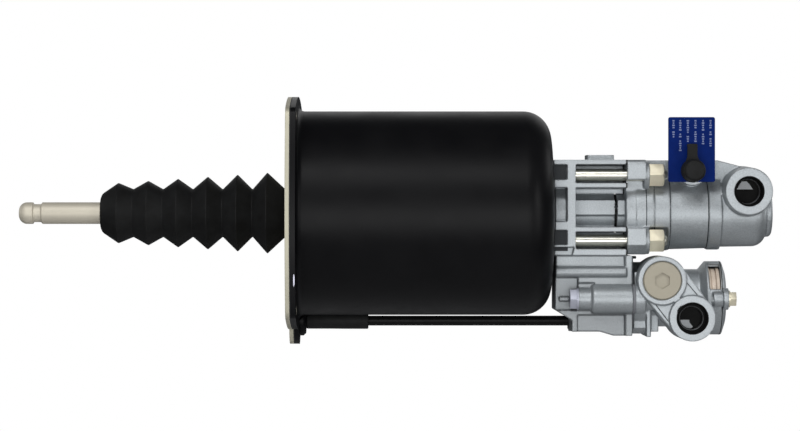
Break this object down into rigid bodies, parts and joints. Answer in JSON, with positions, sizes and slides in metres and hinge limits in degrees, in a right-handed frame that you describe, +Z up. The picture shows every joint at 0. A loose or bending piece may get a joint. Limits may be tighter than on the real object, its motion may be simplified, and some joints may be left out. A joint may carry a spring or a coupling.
{
  "type": "clutch servo",
  "caption": "Air-assisted hydraulic clutch servo: round air cylinder with bellows and pushrod, ribbed casting, hydraulic cylinder and control valve.",
  "frame": {"origin": "on the cylinder axis at the front face of the cover plate, the centre of its mounting holes", "axes": "+X towards the hydraulic end, so the pushrod points to -X; +Z up; the ports face -Y"},
  "size_m": [0.4506, 0.139, 0.1485],
  "materials": {
    "plate_grey": "satin",
    "black_paint": "satin black paint",
    "rubber": "matt",
    "rod_steel": "turned, pale",
    "dark_steel": "spring steel",
    "ground_steel": "ground",
    "cast_aluminium": "blasted casting",
    "zinc_steel": "zinc plated",
    "fibre": "gasket fibre",
    "guide_plastic": "filled plastic",
    "bronze": "bush",
    "blue_plastic": "satin",
    "beige_rings": "matt",
    "brown_steel": "passivated"
  },
  "bodies": {
    "housing": {"front_cover": "plate_grey", "cover_gasket": "fibre", "cover_screws": "zinc_steel", "air_cylinder": "black_paint", "bellows": "rubber", "preload_spring": "dark_steel", "guide_bush": "bronze", "rod_seal": "rubber", "spigot_seal": "rubber", "main_casting": "cast_aluminium", "body_gasket": "fibre", "hydraulic_cylinder": "cast_aluminium", "tie_bolts": "zinc_steel", "tie_nuts": "zinc_steel", "bleed_screw": "zinc_steel", "dust_cap": "rubber", "fluid_tag": "blue_plastic", "valve_gasket": "fibre", "valve_head": "cast_aluminium", "valve_plug": "brown_steel", "valve_bolts": "zinc_steel", "relay_spring": "dark_steel", "inlet_spring": "dark_steel", "valve_guide": "cast_aluminium", "exhaust_rings": "beige_rings", "valve_cover": "cast_aluminium", "valve_cover_bolts": "zinc_steel", "vent_pipe": "black_paint", "pipe_seal": "rubber", "hose_sleeve": "rubber", "pipe_fitting": "black_paint"},
    "rod": {"pushrod": "rod_steel", "rod_clip": "dark_steel", "air_piston": "cast_aluminium", "piston_seal": "rubber", "piston_guide_ring": "guide_plastic", "hydraulic_piston": "ground_steel", "hydraulic_seal": "rubber"},
    "relay": {"relay_piston": "ground_steel", "relay_seal": "rubber"},
    "inlet": {"inlet_valve": "ground_steel"}
  },
  "joints": [
    {"name": "pushrod_slide", "type": "slide", "parent": "housing", "child": "rod", "axis": [1, 0, 0], "range_m": [0, 0.07], "stiffness_N_per_m": 500, "springref_m": -0.06, "deforming": ["bellows", "preload_spring"]},
    {"name": "relay_slide", "type": "slide", "parent": "housing", "child": "relay", "axis": [1, 0, 0], "range_m": [0, 0.003], "stiffness_N_per_m": 2000, "springref_m": -0.004, "deforming": ["relay_spring"]},
    {"name": "inlet_slide", "type": "slide", "parent": "housing", "child": "inlet", "axis": [1, 0, 0], "range_m": [0, 0.0015], "stiffness_N_per_m": 1500, "springref_m": -0.006, "deforming": ["inlet_spring"]}
  ],
  "couplings": [
    {"joint": "inlet_slide", "follows": "relay_slide", "ratio": 0.5}
  ]
}
